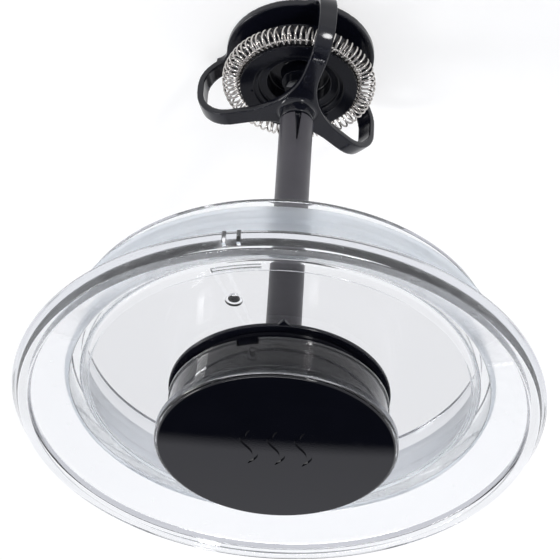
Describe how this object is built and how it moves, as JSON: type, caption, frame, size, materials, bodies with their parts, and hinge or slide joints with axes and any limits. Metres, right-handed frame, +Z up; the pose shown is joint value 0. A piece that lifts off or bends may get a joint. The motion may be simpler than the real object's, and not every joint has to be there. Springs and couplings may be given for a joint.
{
  "type": "milk frother",
  "caption": "Clear dished jug lid with a round black pull knob, and a long shaft ending in a strapped cage that holds a magnetic whisk wheel ringed by a coil spring.",
  "frame": {"origin": "centre of the whisk cage's underside, on the shaft's axis", "axes": "+Z up along the shaft towards the knob; -Y towards the front, with the knob's pointer and the lid's vent hole on that side"},
  "size_m": [0.1192, 0.1192, 0.1215],
  "materials": {
    "clear_lid": "polished clear plastic",
    "silicone": "milky translucent silicone",
    "clear_neck": "polished clear plastic round a black core",
    "black_gloss": "polished black",
    "black_satin": "satin black",
    "black_moulded": "smooth moulded black",
    "spring_steel": "bright stainless wire",
    "steel": "turned stainless steel",
    "brass": "turned brass",
    "magnet": "nickel plate"
  },
  "bodies": {
    "cage": {"whisk_cage": "black_gloss", "axle_pin": "steel", "lower_thrust_washer": "black_moulded", "upper_thrust_washer": "black_moulded", "retaining_clip": "steel"},
    "wheel": {"wheel_body": "black_moulded", "wheel_bush": "black_moulded", "back_iron": "steel", "drive_magnets": "magnet", "wheel_cover": "black_moulded", "whisk_spring": "spring_steel", "spring_hoop": "spring_steel"},
    "knob_and_shaft": {"knob_base": "black_gloss", "knob_gasket": "silicone", "knob_core": "black_moulded", "knob_neck": "clear_neck", "knob_cap": "black_gloss", "knob_screw": "steel", "screw_washer": "steel", "threaded_insert": "brass", "shaft_tube": "black_satin", "bayonet_lock": "black_moulded"},
    "lid": {"lid_shell": "clear_lid", "lid_seal": "silicone"}
  },
  "joints": [
    {"name": "knob_turn", "type": "hinge", "parent": "knob_and_shaft", "child": "lid", "pos_m": [0, 0, 0.1055], "axis": [0, 0, -1], "range_deg": [0, 90]},
    {"name": "cage_pull", "type": "slide", "parent": "cage", "child": "knob_and_shaft", "axis": [0, 0, 1], "range_m": [0, 0.012]},
    {"name": "wheel_spin", "type": "hinge", "parent": "cage", "child": "wheel", "pos_m": [0, 0, 0.0105], "axis": [0, 0, 1], "continuous": true}
  ]
}
